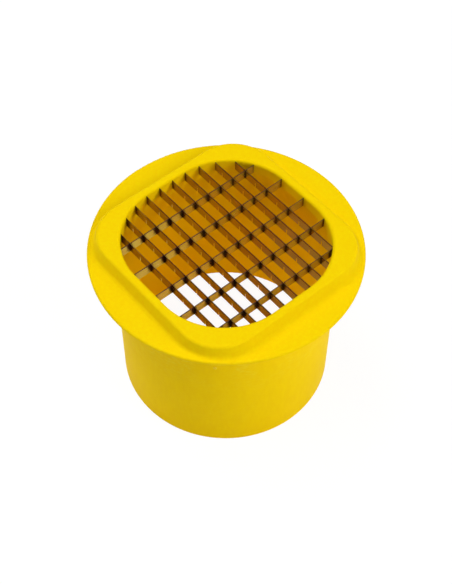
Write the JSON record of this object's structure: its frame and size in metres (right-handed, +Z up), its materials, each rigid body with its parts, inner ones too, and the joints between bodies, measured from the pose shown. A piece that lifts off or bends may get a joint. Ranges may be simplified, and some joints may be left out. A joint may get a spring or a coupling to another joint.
{
  "type": "french fry cutter",
  "caption": "Push-through French fry cutter: a round plastic skirt with a wide flange and a raised square head that holds a grid of steel strips.",
  "frame": {"origin": "middle of the bottom rim, which is the middle of the bounding box's lower face", "axes": "+Z up through the head's opening; +Y along the long strips; +X along the cross strips"},
  "size_m": [0.133, 0.133, 0.096],
  "materials": {
    "yellow_plastic": "satin, fine moulded grain",
    "strip_steel": "bright rolled strip with a ground upper edge"
  },
  "bodies": {
    "root": {"body": "yellow_plastic", "blade_retainer": "yellow_plastic", "long_blade_01": "strip_steel", "long_blade_02": "strip_steel", "long_blade_03": "strip_steel", "long_blade_04": "strip_steel", "long_blade_05": "strip_steel", "long_blade_06": "strip_steel", "long_blade_07": "strip_steel", "long_blade_08": "strip_steel", "long_blade_09": "strip_steel", "long_blade_10": "strip_steel", "cross_blade_1": "strip_steel", "cross_blade_2": "strip_steel", "cross_blade_3": "strip_steel", "cross_blade_4": "strip_steel", "cross_blade_5": "strip_steel"}
  },
  "joints": []
}
